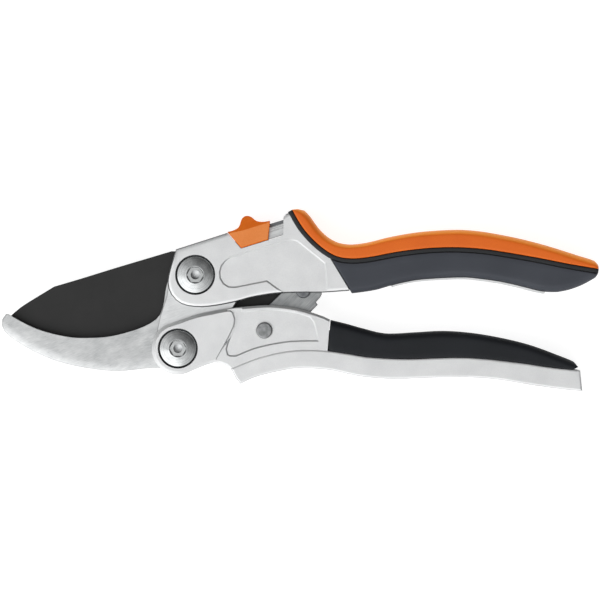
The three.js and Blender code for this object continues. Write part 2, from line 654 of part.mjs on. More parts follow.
function tailPin() {
  const [low, high] = [CHANNEL_BACK + 0.1, CHANNEL_FRONT - 0.3];
  const seat = FRONT_LINK[1] + 0.05;
  return turned(TAIL_PIN, [
    [0, low], [TAIL_PIN_R, low], [TAIL_PIN_R, seat], [TAIL_PIN_HEAD_R, seat],
    [TAIL_PIN_HEAD_R, high - 0.3], [TAIL_PIN_HEAD_R - 0.4, high], [0, high],
  ], 24);
}

// A rivet through both cheeks of the lower handle, headed at both ends.
function linkRivet() {
  const [low, high] = [CHEEK_BACK - 0.2, CHEEK_FRONT + 0.4];
  const [backSeat, frontSeat] = [CHEEK_BACK + 0.95, HEAD_SEAT + 0.05];
  return turned(RIVET, [
    [0, low], [RIVET_HEAD_R - 0.3, low], [RIVET_HEAD_R, low + 0.3], [RIVET_HEAD_R, backSeat],
    [RIVET_R, backSeat], [RIVET_R, frontSeat], [RIVET_HEAD_R, frontSeat],
    [RIVET_HEAD_R, high - 0.3], [RIVET_HEAD_R - 0.3, high], [0, high],
  ], 24);
}

// A torsion spring coiled on the rivet: one leg lies along the channel's floor, the other against
// the link's tab.
const SPRING_R = 3.8;
const WIRE_R = 0.45;
const SPRING_LEVELS = [6.2, 8.25];

function returnSpring() {
  const turns = 2.12;
  const points = [new THREE.Vector3(...placed([[12.4, -5.2]], RIVET, LINK_ANGLE)[0], SPRING_LEVELS[1])];
  const start = LINK_ANGLE - Math.PI / 2;
  const sweep = -(2 * Math.PI * turns);
  const count = 36;
  for (let i = 0; i <= count; i += 1) {
    const angle = start + (sweep * i) / count;
    const level = THREE.MathUtils.lerp(SPRING_LEVELS[1], SPRING_LEVELS[0], i / count);
    points.push(new THREE.Vector3(
      RIVET[0] + SPRING_R * Math.cos(angle), RIVET[1] + SPRING_R * Math.sin(angle), level,
    ));
  }
  points.push(new THREE.Vector3(RIVET[0] + 13, RIVET[1] - 5.4, SPRING_LEVELS[0]));
  return wire(new THREE.CatmullRomCurve3(points, false, 'centripetal'), WIRE_R, 56);
}

// ---- lock ---------------------------------------------------------------------------------------

const LOCK_PIN = placed([[4.4, 5.8]], SLOT_CORNER, SLOT_ANGLE)[0];
const buttonFoot = outline(
  [[11.45, 14.85], [16.2, 9.4], [25.7, 12.35], [26.2, 17.8], [20.1, 16.6], [11.9, 14.9]],
);
const buttonTop = outline(
  [[11.5, 14.75], [13.4, 12.6], [25.9, 15.0], [26.2, 19.0]],
  curve([[26.2, 19.0], [24.5, 18.7], [22.7, 18.7], [21.3, 19.1], [19.7, 20.4], [18.2, 20.8],
    [17.0, 20.4], [16.2, 19.4], [15.7, 17.7], [15.0, 16.5], [13.3, 15.6], [11.4, 15.1]], 0.6),
);
// How far across the slot the button's flat sides reach before they slope in to its crest.
const BUTTON_SHOULDER = [5.9, 15.35];
const BUTTON_CREST = [10.6, 13.2];

// A bar along the slot, shaped like the button's end: straight sides, then slopes up to the crest.
function buttonEnd() {
  const front = [[-1, BUTTON_SHOULDER[1]], BUTTON_SHOULDER, BUTTON_CREST];
  const back = front.map(([across, level]) => [across, 2 * MIDDLE - level]).reverse();
  const section = new THREE.Shape([...front, ...back].map(vector));
  const bar = new THREE.ExtrudeGeometry(section, { depth: 20, bevelEnabled: false });
  const across = new THREE.Vector3(-Math.sin(SLOT_ANGLE), Math.cos(SLOT_ANGLE), 0);
  const along = new THREE.Vector3(Math.cos(SLOT_ANGLE), Math.sin(SLOT_ANGLE), 0);
  bar.translate(0, 0, -7);
  bar.applyMatrix4(new THREE.Matrix4().makeBasis(across, new THREE.Vector3(0, 0, 1), along));
  bar.translate(SLOT_CORNER[0], SLOT_CORNER[1], 0);
  return solid(bar);
}

// A saddle: it straddles the rack and the tongue, and its crest is what the thumb pushes.
function lockButton() {
  const room = placed(
    [[-6, -2], [16, -2], [16, RACK_HEIGHT + 0.3], [TOOTHED_END - LOCK_TRAVEL - 0.3, RACK_HEIGHT + 0.3],
      [TOOTHED_END - LOCK_TRAVEL - 0.3, TOOTHED_HEIGHT + 0.7], [-6, TOOTHED_HEIGHT + 0.7]],
    SLOT_CORNER, SLOT_ANGLE,
  );
  const tongueSlot = placed([[2.1, 4], [7.9, 4], [7.9, 7.3], [2.1, 7.3]], SLOT_CORNER, SLOT_ANGLE);
  const pinHole = disc(LOCK_PIN, LOCK_PIN_R + RUNNING_GAP, LOCK_PIN_BACK - 0.1, LOCK_PIN_FRONT + 0.1, 16);
  return plate(buttonFoot, BUTTON_BACK, BUTTON_FRONT, 0.3)
    .add(plate(buttonTop, BUTTON_BACK, BUTTON_FRONT, 0.15).intersect(buttonEnd()))
    .subtract(plate(room, CHANNEL_BACK - 0.2, CHANNEL_FRONT + 0.2))
    .subtract(plate(tongueSlot, TONGUE_BACK - 0.2, TONGUE_FRONT + 0.2))
    .subtract(pinHole);
}

// The steel tongue under the button, which reaches towards the blade's hub.
function lockTongue() {
  const shape = placed(
    [[2.4, 7.0], [2.4, 4.8], [0.4, 4.4], [-4.6, 1.0], [-5.6, -2.6], [-3.4, -3.6], [0.6, 0.2],
      [9.2, 0.2], [9.2, 4.4], [7.6, 4.8], [7.6, 7.0]],
    SLOT_CORNER, SLOT_ANGLE,
  );
  return plate(shape, TONGUE_BACK, TONGUE_FRONT, 0.15)
    .subtract(disc(LOCK_PIN, LOCK_PIN_R + RUNNING_GAP, 0, 16, 16));
}

// A toothed rack beside the tongue; the button clicks along its teeth.
function lockRack() {
  const teeth = [];
  for (let at = TOOTHED_END; at > RACK_START + TOOTH_PITCH; at -= TOOTH_PITCH) {
    teeth.push([at, TOOTHED_HEIGHT], [at - TOOTH_PITCH / 2, TOOTHED_HEIGHT - TOOTH_DEPTH]);
  }
  const shape = placed(
    [[RACK_START, RACK_FOOT], [RACK_END, RACK_FOOT], [RACK_END, RACK_HEIGHT], [TOOTHED_END, RACK_HEIGHT],
      ...teeth, [RACK_START, TOOTHED_HEIGHT]],
    SLOT_CORNER, SLOT_ANGLE,
  );
  // A cut along the whole rack between two heights, down from its front face.
  const cut = (from, to, drop) => plate(placed(
    [[0, from], [RACK_END + 1, from], [RACK_END + 1, to], [0, to]], SLOT_CORNER, SLOT_ANGLE,
  ), RACK_FRONT - drop, RACK_FRONT + 1);
  return GROOVES_AT.reduce(
    (rack, from) => rack.subtract(cut(from, from + GROOVE_WIDTH, GROOVE_DEPTH)),
    plate(shape, RACK_BACK, RACK_FRONT).subtract(cut(TOOTHED_HEIGHT, RACK_HEIGHT + 1, LEDGE_DROP)),
  );
}

// ---- assembly -----------------------------------------------------------------------------------

add('upper_handle_casting', upperCasting(), satinAluminium);
add('hook_jaw', hook(), brushedSteel);
add('hook_dowel', disc(DOWEL, DOWEL_R, HOOK_BACK + 0.1, DOWEL_FRONT, 16), darkSteel);
add('upper_grip', upperGrip(), slateRubber);
add('grip_seal_strip', sealStrip(), blackRubber);
add('orange_grip_cover', orangeCover(), orangePlastic);
add('main_pivot_bolt', pivotBolt(MAIN_PIVOT), polishedSteel);
add('main_pivot_nut', pivotNut(MAIN_PIVOT), darkSteel);
add('main_pivot_spacer', spacer(MAIN_PIVOT, 6.2, CHANNEL_BACK, BLADE_BACK), springSteel);
add('lock_rack', lockRack(), brushedSteel);

add('blade', blade(), coatedSteel);
add('blade_bush', washer(MAIN_PIVOT, SHAFT_R + RUNNING_GAP, BUSH_R, BLADE_BACK + 0.05, BLADE_FRONT - 0.05),
  bronze);

add('lower_handle_casting', lowerCasting(), satinAluminium);
add('lower_grip', lowerGrip(), navyRubber);
add('lower_pivot_bolt', pivotBolt(LOWER_PIVOT), polishedSteel);
add('lower_pivot_nut', pivotNut(LOWER_PIVOT), darkSteel);
add('lower_pivot_spacer', spacer(LOWER_PIVOT, 5.2, CHANNEL_BACK, HOOK_BACK), springSteel);
add('link_rivet', linkRivet(), darkSteel);
add('rivet_sleeve', washer(RIVET, RIVET_R + RUNNING_GAP, 3.0, 5.65, 8.75), bronze);
add('return_spring', returnSpring(), springSteel);

add('link_front_plate', linkPlate(FRONT_LINK), brushedSteel);
add('link_back_plate', linkPlate(BACK_LINK).add(plate(tabShape, 5.0, 8.7)), brushedSteel);
add('link_tail_pin', tailPin(), darkSteel);

add('lock_button', lockButton(), orangePlastic);
add('lock_tongue', lockTongue(), brushedSteel);
add('lock_pin', disc(LOCK_PIN, LOCK_PIN_R, LOCK_PIN_BACK, LOCK_PIN_FRONT, 16), darkSteel);

export default pruner;
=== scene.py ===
# Looks of the power-lever bypass pruner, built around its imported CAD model. Metres, +Z up.

import json
import math

import bmesh
import bpy
import numpy as np
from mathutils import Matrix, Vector


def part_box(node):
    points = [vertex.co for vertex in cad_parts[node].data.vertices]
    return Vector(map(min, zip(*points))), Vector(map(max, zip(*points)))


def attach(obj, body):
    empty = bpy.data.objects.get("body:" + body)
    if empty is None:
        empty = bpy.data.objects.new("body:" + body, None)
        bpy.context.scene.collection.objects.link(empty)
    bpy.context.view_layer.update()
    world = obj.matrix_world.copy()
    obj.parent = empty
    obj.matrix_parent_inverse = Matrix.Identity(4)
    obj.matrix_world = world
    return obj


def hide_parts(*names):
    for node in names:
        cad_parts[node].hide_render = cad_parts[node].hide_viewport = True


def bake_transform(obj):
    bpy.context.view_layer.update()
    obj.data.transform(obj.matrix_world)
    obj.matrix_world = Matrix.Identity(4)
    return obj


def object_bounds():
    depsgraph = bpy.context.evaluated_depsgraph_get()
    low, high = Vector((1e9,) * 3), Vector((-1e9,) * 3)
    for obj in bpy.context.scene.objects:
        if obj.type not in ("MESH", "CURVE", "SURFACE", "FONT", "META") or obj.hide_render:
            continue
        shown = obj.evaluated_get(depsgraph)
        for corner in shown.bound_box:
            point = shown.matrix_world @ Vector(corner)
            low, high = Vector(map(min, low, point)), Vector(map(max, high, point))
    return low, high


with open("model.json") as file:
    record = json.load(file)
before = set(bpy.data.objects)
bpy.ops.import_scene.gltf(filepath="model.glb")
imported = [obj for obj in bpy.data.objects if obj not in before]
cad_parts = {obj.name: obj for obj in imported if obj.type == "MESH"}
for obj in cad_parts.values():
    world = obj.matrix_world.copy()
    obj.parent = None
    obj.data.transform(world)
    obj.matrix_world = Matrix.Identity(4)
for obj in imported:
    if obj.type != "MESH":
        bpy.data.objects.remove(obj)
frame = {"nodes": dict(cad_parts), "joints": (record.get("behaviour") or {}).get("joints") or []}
CAD_LOW, CAD_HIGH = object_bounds()
MM = 0.001
# How many points go round the section of a wire or of the black ring round a pivot bolt's head.
WIRE_STEPS = 12
MIDDLE = (CAD_LOW.z + CAD_HIGH.z) / 2
# Points closer together than this are one point.
SAME_POINT = 1e-3 * MM
# The level at which the grips' outlines are read, clear of the slots inside them.
GRIP_LEVEL = 12 * MM
# How far above and below the middle the castings' inner faces reach, which take a painted shade.
INNER_REACH = 5.1 * MM
# Flat faces higher than this are the hook's raised part round the pivots.
NECK_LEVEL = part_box("hook_jaw")[1].z - 0.1 * MM
# Flat faces lower than this are the rack's ledge beside its teeth.
LEDGE_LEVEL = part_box("lock_rack")[1].z - 0.5 * MM
# Flat faces further from the middle than this are the lock button's front and back.
BUTTON_REACH = 7 * MM
# The lock's slot rises by this angle.
SLOT_TURN = math.radians(17.2)

# Pivot bolts: how far the socket, and the top and bottom of the hole drilled in its floor, lie below
# the head's top.
SOCKET_DEPTH = 1.6 * MM
HOLE_TOP = 1.05 * SOCKET_DEPTH
HOLE_BOTTOM = 2 * SOCKET_DEPTH
# The black ring round each pivot bolt's head: a dark piece put in the shadowed gap there, painted shade.
SHADE_RING_WIDTH = 0.45 * MM
SHADE_RING_HEIGHT = 0.7 * MM
SHADE_RING_DROP = 0.85 * MM
SHADE_RING_STEPS = 96

# Return spring: its wire and coil, and where its legs end. The upper leg's reach is along the link and
# to its right, and the lower leg's is along X and Y, both from the link's axis.
WIRE_RADIUS = 0.45 * MM
COIL_RADIUS = 3.8 * MM
COIL_TURNS = 2.12
COIL_POINTS = 110
UPPER_LEG = 12.4 * MM, 5.2 * MM
LOWER_LEG = 13 * MM, -5.4 * MM

scene = bpy.context.scene
scene.view_settings.view_transform = "Standard"


# ---- camera, floor and light --------------------------------------------------------------------

def make_camera():
    """A long lens straight above the tool, which fills the picture's width but for a thin margin."""
    margin = 1.0025
    view_width = (CAD_HIGH.x - CAD_LOW.x) * margin
    centre = (CAD_LOW + CAD_HIGH) / 2
    centre.z = CAD_HIGH.z
    data = bpy.data.cameras.new("camera")
    data.lens = 180
    data.sensor_width = 36
    distance = view_width / data.sensor_width * data.lens
    data.clip_start = 0.05
    data.clip_end = 20
    camera = bpy.data.objects.new("camera", data)
    camera.location = centre + Vector((0, 0, distance))
    scene.collection.objects.link(camera)
    scene.camera = camera


def make_floor():
    """A wide pale floor that glows, so that the tool lies on near white with a faint shadow."""
    mesh = bpy.data.meshes.new("floor")
    reach = 3.0
    corners = [(-reach, -reach, 0), (reach, -reach, 0), (reach, reach, 0), (-reach, reach, 0)]
    mesh.from_pydata(corners, [], [(0, 1, 2, 3)])
    floor = bpy.data.objects.new("floor", mesh)
    floor.location.z = CAD_LOW.z - 0.1 * MM
    scene.collection.objects.link(floor)
    surface = bpy.data.materials.new("floor")
    surface.use_nodes = True
    shader = surface.node_tree.nodes["Principled BSDF"]
    shader.inputs["Base Color"].default_value = (0.35, 0.35, 0.35, 1)
    shader.inputs["Roughness"].default_value = 0.9
    shader.inputs["Specular IOR Level"].default_value = 0.1
    shader.inputs["Emission Color"].default_value = (1, 1, 1, 1)
    shader.inputs["Emission Strength"].default_value = 0.87
    mesh.materials.append(surface)


def make_world():
    """A bright studio, lighter overhead and towards the lower left than on the far side."""
    world = bpy.data.worlds.new("studio")
    scene.world = world
    world.use_nodes = True
    nodes, links = world.node_tree.nodes, world.node_tree.links
    background = nodes["Background"]
    background.inputs["Color"].default_value = (1, 1, 1, 1)
    direction = nodes.new("ShaderNodeTexCoord")
    toward = nodes.new("ShaderNodeVectorMath")
    toward.operation = "DOT_PRODUCT"
    toward.inputs[1].default_value = Vector((-0.5, -0.62, 0.6)).normalized()
    brightness = nodes.new("ShaderNodeMapRange")
    brightness.interpolation_type = "SMOOTHSTEP"
    brightness.inputs["From Min"].default_value = 0.15
    brightness.inputs["From Max"].default_value = 0.9
    brightness.inputs["To Min"].default_value = 0.12
    brightness.inputs["To Max"].default_value = 1.6
    links.new(direction.outputs["Generated"], toward.inputs[0])
    links.new(toward.outputs["Value"], brightness.inputs["Value"])
    links.new(brightness.outputs["Result"], background.inputs["Strength"])


def make_light():
    """One large soft light from the lower left."""
    data = bpy.data.lights.new("key", "SUN")
    data.energy = 0.5
    data.angle = math.radians(50)
    light = bpy.data.objects.new("key", data)
    light.rotation_euler = Vector((0.45, 0.55, -0.9)).to_track_quat("-Z", "Y").to_euler()
    scene.collection.objects.link(light)


# ---- materials ----------------------------------------------------------------------------------

def linear(code):
    """A six-digit sRGB colour as linear red, green, blue and alpha."""
    channels = [int(code[i:i + 2], 16) / 255 for i in (0, 2, 4)]
    return [c / 12.92 if c <= 0.04045 else ((c + 0.055) / 1.055) ** 2.4 for c in channels] + [1.0]


class Look:
    """A procedural material: one Principled shader and the patterns that vary it."""

    def __init__(self, name, metallic=0.0, specular=0.5):
        self.material = bpy.data.materials.new(name)
        self.material.use_nodes = True
        self.nodes = self.material.node_tree.nodes
        self.links = self.material.node_tree.links
        self.shader = self.nodes["Principled BSDF"]
        self.shader.inputs["Metallic"].default_value = metallic
        self.shader.inputs["Specular IOR Level"].default_value = specular
        coordinates = self.nodes.new("ShaderNodeTexCoord")
        self.place = coordinates.outputs["Object"]
        self.facing = coordinates.outputs["Normal"]
        self.normal = None

    def noise(self, size, stretch=(1, 1, 1), detail=3.0, turn=0.0):
        """Noise with features about size across, stretched along each axis and turned about Z."""
        spin = self.nodes.new("ShaderNodeVectorRotate")
        spin.rotation_type = "Z_AXIS"
        spin.inputs["Angle"].default_value = -turn
        mapping = self.nodes.new("ShaderNodeMapping")
        mapping.inputs["Scale"].default_value = [1 / (size * s) for s in stretch]
        texture = self.nodes.new("ShaderNodeTexNoise")
        texture.inputs["Scale"].default_value = 1.0
        texture.inputs["Detail"].default_value = detail
        self.links.new(self.place, spin.inputs["Vector"])
        self.links.new(spin.outputs["Vector"], mapping.inputs["Vector"])
        self.links.new(mapping.outputs["Vector"], texture.inputs["Vector"])
        return texture.outputs["Fac"]

    def rings(self, centre, pitch):
        """Uneven rings about a vertical axis, as a lathe tool leaves them."""
        offset = self.nodes.new("ShaderNodeVectorMath")
        offset.operation = "SUBTRACT"
        offset.inputs[1].default_value = centre
        flat = self.nodes.new("ShaderNodeVectorMath")
        flat.operation = "MULTIPLY"
        flat.inputs[1].default_value = (1, 1, 0)
        radius = self.nodes.new("ShaderNodeVectorMath")
        radius.operation = "LENGTH"
        texture = self.nodes.new("ShaderNodeTexNoise")
        texture.noise_dimensions = "1D"
        texture.inputs["Scale"].default_value = 1 / pitch
        texture.inputs["Detail"].default_value = 2.0
        self.links.new(self.place, offset.inputs[0])
        self.links.new(offset.outputs["Vector"], flat.inputs[0])
        self.links.new(flat.outputs["Vector"], radius.inputs[0])
        self.links.new(radius.outputs["Value"], texture.inputs["W"])
        return texture.outputs["Fac"]

    def spread(self, pattern, low, high, contrast=0.3):
        """A pattern's middle range stretched to run from low to high."""
        remap = self.nodes.new("ShaderNodeMapRange")
        remap.inputs["From Min"].default_value = contrast
        remap.inputs["From Max"].default_value = 1 - contrast
        remap.inputs["To Min"].default_value = low
        remap.inputs["To Max"].default_value = high
        self.links.new(pattern, remap.inputs["Value"])
        return remap.outputs["Result"]

    def both(self, first, second):
        """The average of two patterns."""
        mix = self.nodes.new("ShaderNodeMix")
        mix.inputs["Factor"].default_value = 0.5
        self.links.new(first, mix.inputs["A"])
        self.links.new(second, mix.inputs["B"])
        return mix.outputs["Result"]

    def colour(self, pattern, dark, light):
        """The base colour, which runs from dark to light as the pattern does."""
        mix = self.nodes.new("ShaderNodeMix")
        mix.data_type = "RGBA"
        mix.inputs["A"].default_value = linear(dark)
        mix.inputs["B"].default_value = linear(light)
        self.links.new(self.spread(pattern, 0.0, 1.0), mix.inputs["Factor"])
        self.links.new(mix.outputs["Result"], self.shader.inputs["Base Color"])

    def paint_light_facing(self, direction, low, high, colour, glow):
        """Paints light where the surface faces a direction: a painted highlight that turns the colour
        towards another one.

        glow is how strongly a painted glow of that colour shines there."""
        facing = self.nodes.new("ShaderNodeVectorMath")
        facing.operation = "DOT_PRODUCT"
        facing.inputs[1].default_value = direction
        amount = self.nodes.new("ShaderNodeMapRange")
        amount.interpolation_type = "SMOOTHSTEP"
        amount.inputs["From Min"].default_value = low
        amount.inputs["From Max"].default_value = high
        mix = self.nodes.new("ShaderNodeMix")
        mix.data_type = "RGBA"
        mix.inputs["B"].default_value = linear(colour)
        self.links.new(self.facing, facing.inputs[0])
        self.links.new(facing.outputs["Value"], amount.inputs["Value"])
        self.links.new(amount.outputs["Result"], mix.inputs["Factor"])
        self.links.new(self.shader.inputs["Base Color"].links[0].from_socket, mix.inputs["A"])
        self.links.new(mix.outputs["Result"], self.shader.inputs["Base Color"])
        strength = self.nodes.new("ShaderNodeMath")
        strength.operation = "MULTIPLY"
        strength.inputs[1].default_value = glow
        self.shader.inputs["Emission Color"].default_value = linear(colour)
        self.links.new(amount.outputs["Result"], strength.inputs[0])
        self.links.new(strength.outputs["Value"], self.shader.inputs["Emission Strength"])

    def roughness(self, pattern, low, high):
        self.links.new(self.spread(pattern, low, high), self.shader.inputs["Roughness"])

    def bump(self, pattern, depth):
        """Relief of a given depth, on top of any relief the look already has."""
        bump = self.nodes.new("ShaderNodeBump")
        bump.inputs["Strength"].default_value = 0.5
        bump.inputs["Distance"].default_value = depth
        self.links.new(pattern, bump.inputs["Height"])
        if self.normal:
            self.links.new(self.normal, bump.inputs["Normal"])
        self.normal = bump.outputs["Normal"]
        self.links.new(self.normal, self.shader.inputs["Normal"])


def cast_aluminium(name, dark, light):
    look = Look(name, metallic=0.7)
    grain = look.noise(0.35 * MM, detail=4)
    blotches = look.noise(7 * MM, detail=2)
    look.colour(look.both(grain, blotches), dark, light)
    look.roughness(grain, 0.42, 0.56)
    look.bump(grain, 0.03 * MM)
    return look.material


def brushed_steel(name, dark, light, turn, rough=(0.26, 0.42), streak=50):
    """Steel brushed along a direction; streak is how much longer its marks are than wide."""
    look = Look(name, metallic=1.0)
    lines = look.noise(0.16 * MM, stretch=(streak, 1, 1), detail=3, turn=turn)
    clouds = look.noise(3.5 * MM, stretch=(1.6, 1, 1), detail=4, turn=turn)
    look.colour(look.both(lines, clouds), dark, light)
    look.roughness(look.both(lines, clouds), *rough)
    look.bump(lines, 0.012 * MM)
    return look.material


def turned_steel(name, centre):
    """Steel turned on a lathe, with fine rings about its centre."""
    look = Look(name, metallic=1.0)
    rings = look.rings(centre, 0.22 * MM)
    clouds = look.noise(2.2 * MM, detail=3)
    look.colour(look.both(rings, clouds), "949697", "bec0c0")
    look.roughness(clouds, 0.12, 0.24)
    look.bump(rings, 0.008 * MM)
    return look.material


def dark_steel(name, dark, light):
    look = Look(name, metallic=1.0)
    grain = look.noise(0.3 * MM, detail=4)
    clouds = look.noise(1.6 * MM, detail=3)
    look.colour(clouds, dark, light)
    look.roughness(clouds, 0.34, 0.5)
    look.bump(grain, 0.02 * MM)
    return look.material


def coated_steel():
    look = Look("coated_steel", metallic=0.0, specular=0.35)
    speckle = look.noise(0.22 * MM, detail=4)
    drift = look.noise(9 * MM, detail=2)
    look.colour(look.both(speckle, drift), "191919", "232323")
    look.roughness(speckle, 0.42, 0.55)
    look.bump(speckle, 0.02 * MM)
    return look.material


def spring_steel():
    look = Look("spring_steel", metallic=1.0)
    clouds = look.noise(0.9 * MM, detail=3)
    look.colour(clouds, "76797c", "a0a2a3")
    look.roughness(clouds, 0.3, 0.45)
    look.bump(look.noise(0.12 * MM), 0.01 * MM)
    return look.material


def sintered_bronze():
    look = Look("bronze", metallic=1.0)
    pores = look.noise(0.2 * MM, detail=4)
    look.colour(pores, "8a6537", "b58e58")
    look.roughness(pores, 0.35, 0.55)
    look.bump(pores, 0.02 * MM)
    return look.material


def moulded(name, dark, light, stipple, depth, rough, upper=None):
    """Moulded rubber or plastic: a fine stipple from the mould and a slow drift of its tone.

    upper is a paler colour painted on the sides that face up the tool, with a faint painted glow: a
    painted highlight."""
    look = Look(name, specular=0.3)
    fine = look.noise(stipple, detail=3)
    drift = look.noise(14 * MM, detail=2)
    look.colour(look.both(fine, drift), dark, light)
    if upper:
        look.paint_light_facing((0, 1, 0), 0.15, 0.8, upper, glow=0.16)
    look.roughness(fine, *rough)
    look.bump(fine, depth)
    return look.material


ALUMINIUM = cast_aluminium("satin_aluminium", "d1d2d3", "e1e2e2")
# Painted shade: a dark copy of the aluminium for the upper casting's steep edge faces and for both
# castings' inner faces.
CAST_SHADE = cast_aluminium("shaded_aluminium", "5a5b5c", "6e7071")
# Painted shade: a slightly darker copy of the aluminium for the lower rim's steep faces that look down
# the picture.
RIM_SHADE = cast_aluminium("rim_aluminium_painted_shade", "b0b1b2", "c0c1c2")
HOOK_STEEL = brushed_steel("hook_steel", "9c9e9f", "cdcece", math.radians(20), streak=16)
NECK_STEEL = brushed_steel("neck_steel", "b6b8b9", "d9dada", math.radians(20), streak=16)
# The link's steel is set darker overall to stand for the casting's shadow over it: partly the steel's
# tone, partly painted shade.
LINK_STEEL = brushed_steel("link_steel", "66686a", "aeb0b0", math.radians(45))
RACK_STEEL = brushed_steel("rack_steel", "b0b2b3", "d8d9d9", SLOT_TURN)
GROUND_STEEL = brushed_steel("ground_steel", "a8aaab", "d2d3d3", math.radians(90), (0.2, 0.32))
DARK_STEEL = dark_steel("dark_steel", "77797a", "a2a3a4")
# Dark steel for the tail pin, also used as painted shade on the rack's recessed ledge beside its teeth.
PIN_STEEL_AND_LEDGE_SHADE = dark_steel("pin_steel_and_ledge_shade", "626467", "7c7e80")
SOCKET_STEEL = dark_steel("socket_steel", "9c9e9f", "bcbebf")
COATED = coated_steel()
SPRING = spring_steel()
BRONZE = sintered_bronze()
PLASTIC = 0.4 * MM, 0.02 * MM, (0.42, 0.55)
RUBBER = 0.35 * MM, 0.05 * MM, (0.6, 0.75)
# The cover's paler colour on its sides that face up the tool is a painted highlight with a painted glow.
ORANGE = moulded("orange_plastic", "da600c", "e66e14", *PLASTIC, upper="ff9a3c")
ORANGE_SLOPE = moulded("orange_slope", "e0680f", "ec7618", *PLASTIC)
# The lock button's flat front and back are painted paler than its slopes: a painted highlight.
ORANGE_PAINTED_LIT_FACE = moulded("orange_face_painted_light", "e38038", "ee914c", *PLASTIC)
SLATE = moulded("slate_rubber", "3a3d44", "43464d", *RUBBER)
NAVY = moulded("navy_rubber", "14171b", "1b1e23", *RUBBER)
# Black rubber for the seal strip, also used for the painted-shade ring round each pivot bolt's head.
BLACK = moulded("black_rubber", "222426", "2e3032", 0.3 * MM, 0.03 * MM, (0.55, 0.7))


# ---- shapes read from the frame -----------------------------------------------------------------

def section_loop(node, level):
    """The longest closed outline where a CAD node crosses a level, as points seen from above."""
    work = bmesh.new()
    work.from_mesh(frame["nodes"][node].data)
    bmesh.ops.remove_doubles(work, verts=work.verts, dist=SAME_POINT)
    everything = work.verts[:] + work.edges[:] + work.faces[:]
    cut = bmesh.ops.bisect_plane(work, geom=everything, plane_co=(0, 0, level), plane_no=(0, 0, 1))
    unused = {item for item in cut["geom_cut"] if isinstance(item, bmesh.types.BMEdge)}
    loops = []
    while unused:
        edge = unused.pop()
        start, vert = edge.verts
        points = [start.co.copy(), vert.co.copy()]
        while vert != start:
            edge = next(e for e in vert.link_edges if e in unused)
            unused.remove(edge)
            vert = edge.other_vert(vert)
            points.append(vert.co.copy())
        loops.append(np.array([p.xy for p in points[:-1]]))
    work.free()
    return max(loops, key=lambda loop: np.linalg.norm(loop - np.roll(loop, 1, axis=0), axis=1).sum())


def long_sides(node, level, corners):
    """The two long sides of a node's outline, both from the near end to the far end.

    corners are near and far of the first side, then of the second, as fractions of the node's box."""
    loop = section_loop(node, level)
    low, high = (np.array(corner.xy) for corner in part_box(node))
    near, far, other_near, other_far = (
        int(np.argmin(np.linalg.norm(loop - (low + np.array(c) * (high - low)), axis=1))) for c in corners
    )
    count = len(loop)
    if (far - near) % count > (other_near - near) % count:
        loop = loop[::-1]
        near, far, other_near, other_far = (count - 1 - i for i in (near, far, other_near, other_far))
    first = [loop[(near + i) % count] for i in range((far - near) % count + 1)]
    second = [loop[(other_far + i) % count] for i in range((other_near - other_far) % count + 1)]
    return np.array(first), np.array(second[::-1])


def turns(count):
    """Angles spaced evenly round one turn."""
    return np.linspace(0, 2 * math.pi, count, endpoint=False)


def resample(chain, fractions):
    """Points on a smooth curve through a chain, at fractions of its length."""
    length = np.concatenate([[0], np.cumsum(np.linalg.norm(np.diff(chain, axis=0), axis=1))])
    slopes = np.gradient(chain, length, axis=0)
    out = []
    for at in np.asarray(fractions) * length[-1]:
        i = min(max(int(np.searchsorted(length, at)) - 1, 0), len(chain) - 2)
        span = length[i + 1] - length[i]
        t = (at - length[i]) / span
        out.append(
            (2 * t**3 - 3 * t**2 + 1) * chain[i] + (t**3 - 2 * t**2 + t) * span * slopes[i]
            + (3 * t**2 - 2 * t**3) * chain[i + 1] + (t**3 - t**2) * span * slopes[i + 1]
        )
    return np.array(out)


def link_mesh(name, mesh, body, look, slot, *nodes):
    """A new piece that rides on a body and stands for some CAD nodes."""
    piece = bpy.data.objects.new(name, mesh)
    scene.collection.objects.link(piece)
    mesh.materials.append(look)
    mesh.polygons.foreach_set("use_smooth", [True] * len(mesh.polygons))
    if body:
        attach(piece, body)
    if nodes:
        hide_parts(*nodes)
    return piece


def skin(name, rings, closed=False):
    """A mesh stretched over rings of equal count: capped at its ends, or closed on itself."""
    work = bmesh.new()
    rows = [[work.verts.new(p) for p in ring] for ring in rings]
    pairs = list(zip(rows, rows[1:]))
    if closed:
        pairs.append((rows[-1], rows[0]))
    for row, following in pairs:
        for i in range(len(row)):
            j = (i + 1) % len(row)
            work.faces.new((row[i], row[j], following[j], following[i]))
    if not closed:
        work.faces.new(rows[0])
        work.faces.new(rows[-1])
    bmesh.ops.remove_doubles(work, verts=work.verts, dist=SAME_POINT)
    bmesh.ops.dissolve_degenerate(work, edges=work.edges, dist=SAME_POINT)
    bmesh.ops.recalc_face_normals(work, faces=work.faces)
    mesh = bpy.data.meshes.new(name)
    work.to_mesh(mesh)
    work.free()
    return mesh


# ---- carried-over CAD nodes ---------------------------------------------------------------------

